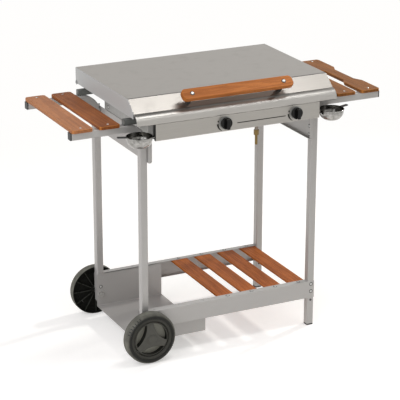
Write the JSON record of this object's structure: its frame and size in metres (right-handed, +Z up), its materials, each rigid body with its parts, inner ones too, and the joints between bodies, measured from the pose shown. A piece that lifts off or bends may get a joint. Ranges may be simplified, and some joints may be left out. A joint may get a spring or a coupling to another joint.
{
  "type": "gas grill",
  "caption": "Free-standing gas grill on a wheeled tube trolley, with a hinged lid, wood side shelves, gas taps, hanging bowls, a slatted lower shelf and a gas bottle tray.",
  "frame": {"origin": "on the floor under the middle of the object's overall box", "axes": "+X to the right as seen from the front, +Y to the back, +Z up"},
  "size_m": [1.148, 0.5598, 0.9406],
  "materials": {
    "frame_paint": "satin silver-grey powder paint",
    "black_plug": "black moulded plastic",
    "zinc_screw": "bright zinc plating",
    "board_wood": "oiled red-brown hardwood",
    "slat_wood": "oiled red-brown hardwood",
    "handle_wood": "oiled orange-brown hardwood",
    "wheel_moulding": "charcoal moulded plastic",
    "wheel_tread": "dark tread",
    "worktop_steel": "satin stainless sheet",
    "panel_steel": "satin stainless sheet",
    "lid_steel": "satin stainless sheet",
    "firebox_steel": "plain steel sheet",
    "burner_steel": "heat-darkened steel",
    "grid_chrome": "chromed wire",
    "lava_rock": "rough porous rock",
    "brass": "turned brass",
    "knob_plastic": "black moulded plastic",
    "knob_bezel": "grey moulded ring",
    "bowl_steel": "polished spun steel",
    "tab_plastic": "dark coated tab"
  },
  "bodies": {
    "trolley": {"leg_front_left": "frame_paint", "leg_rear_left": "frame_paint", "leg_front_right": "frame_paint", "leg_rear_right": "frame_paint", "shelf_rail_front": "frame_paint", "shelf_rail_rear": "frame_paint", "bottle_tray": "frame_paint", "side_plate_left": "frame_paint", "side_plate_right": "frame_paint", "crossbar_front": "frame_paint", "crossbar_rear": "frame_paint", "worktop_supports": "frame_paint", "arm_end_plugs": "black_plug", "crossbar_end_plugs": "black_plug", "leg_end_plugs": "black_plug", "frame_screws": "zinc_screw", "slat_screws": "zinc_screw", "board_screws": "zinc_screw", "stub_axles": "zinc_screw", "board_left_outer": "board_wood", "board_left_inner": "board_wood", "board_right_inner": "board_wood", "pull_handle_board": "board_wood", "shelf_slat_1": "slat_wood", "shelf_slat_2": "slat_wood", "shelf_slat_3": "slat_wood", "shelf_slat_4": "slat_wood", "axle_caps": "wheel_moulding", "worktop": "worktop_steel", "control_panel": "panel_steel", "firebox": "firebox_steel", "hinge_ears": "firebox_steel", "hinge_rod": "firebox_steel", "burner_left": "burner_steel", "burner_right": "burner_steel", "lava_grate": "burner_steel", "gas_manifold": "burner_steel", "cooking_grid": "grid_chrome", "lava_stones": "lava_rock", "gas_inlet": "brass", "tap_body_left": "brass", "tap_body_right": "brass", "knob_bezels": "knob_bezel"},
    "lid": {"lid_shell": "lid_steel", "lid_handle": "handle_wood", "lid_handle_fixings": "zinc_screw"},
    "tap_left": {"tap_plug_left": "brass"},
    "knob_left": {"knob_left": "knob_plastic", "tap_stem_left": "brass"},
    "tap_right": {"tap_plug_right": "brass"},
    "knob_right": {"knob_right": "knob_plastic", "tap_stem_right": "brass"},
    "wheel_front": {"wheel_front_hub": "wheel_moulding", "wheel_front_tyre": "wheel_tread"},
    "wheel_rear": {"wheel_rear_hub": "wheel_moulding", "wheel_rear_tyre": "wheel_tread"},
    "cup_left": {"cup_left": "bowl_steel", "cup_tab_left": "tab_plastic"},
    "cup_right": {"cup_right": "bowl_steel", "cup_tab_right": "tab_plastic"}
  },
  "joints": [
    {"name": "lid_hinge", "type": "hinge", "parent": "trolley", "child": "lid", "pos_m": [0, 0.2601, 0.864], "axis": [-1, 0, 0], "range_deg": [0, 95]},
    {"name": "tap_turn_left", "type": "hinge", "parent": "trolley", "child": "tap_left", "pos_m": [-0.052, -0.2199, 0.8155], "axis": [0, -1, 0], "range_deg": [0, 150]},
    {"name": "knob_push_left", "type": "slide", "parent": "tap_left", "child": "knob_left", "axis": [0, 1, 0], "range_m": [0, 0.003], "stiffness_N_per_m": 800},
    {"name": "tap_turn_right", "type": "hinge", "parent": "trolley", "child": "tap_right", "pos_m": [0.212, -0.2199, 0.8155], "axis": [0, -1, 0], "range_deg": [0, 150]},
    {"name": "knob_push_right", "type": "slide", "parent": "tap_right", "child": "knob_right", "axis": [0, 1, 0], "range_m": [0, 0.003], "stiffness_N_per_m": 800},
    {"name": "wheel_spin_front", "type": "hinge", "parent": "trolley", "child": "wheel_front", "pos_m": [-0.32, -0.2249, 0.09], "axis": [0, 1, 0], "continuous": true},
    {"name": "wheel_spin_rear", "type": "hinge", "parent": "trolley", "child": "wheel_rear", "pos_m": [-0.32, 0.2571, 0.09], "axis": [0, 1, 0], "continuous": true},
    {"name": "cup_pull_left", "type": "slide", "parent": "trolley", "child": "cup_left", "axis": [-1, 0, 0], "range_m": [0, 0.15]},
    {"name": "cup_pull_right", "type": "slide", "parent": "trolley", "child": "cup_right", "axis": [1, 0, 0], "range_m": [0, 0.15]}
  ]
}
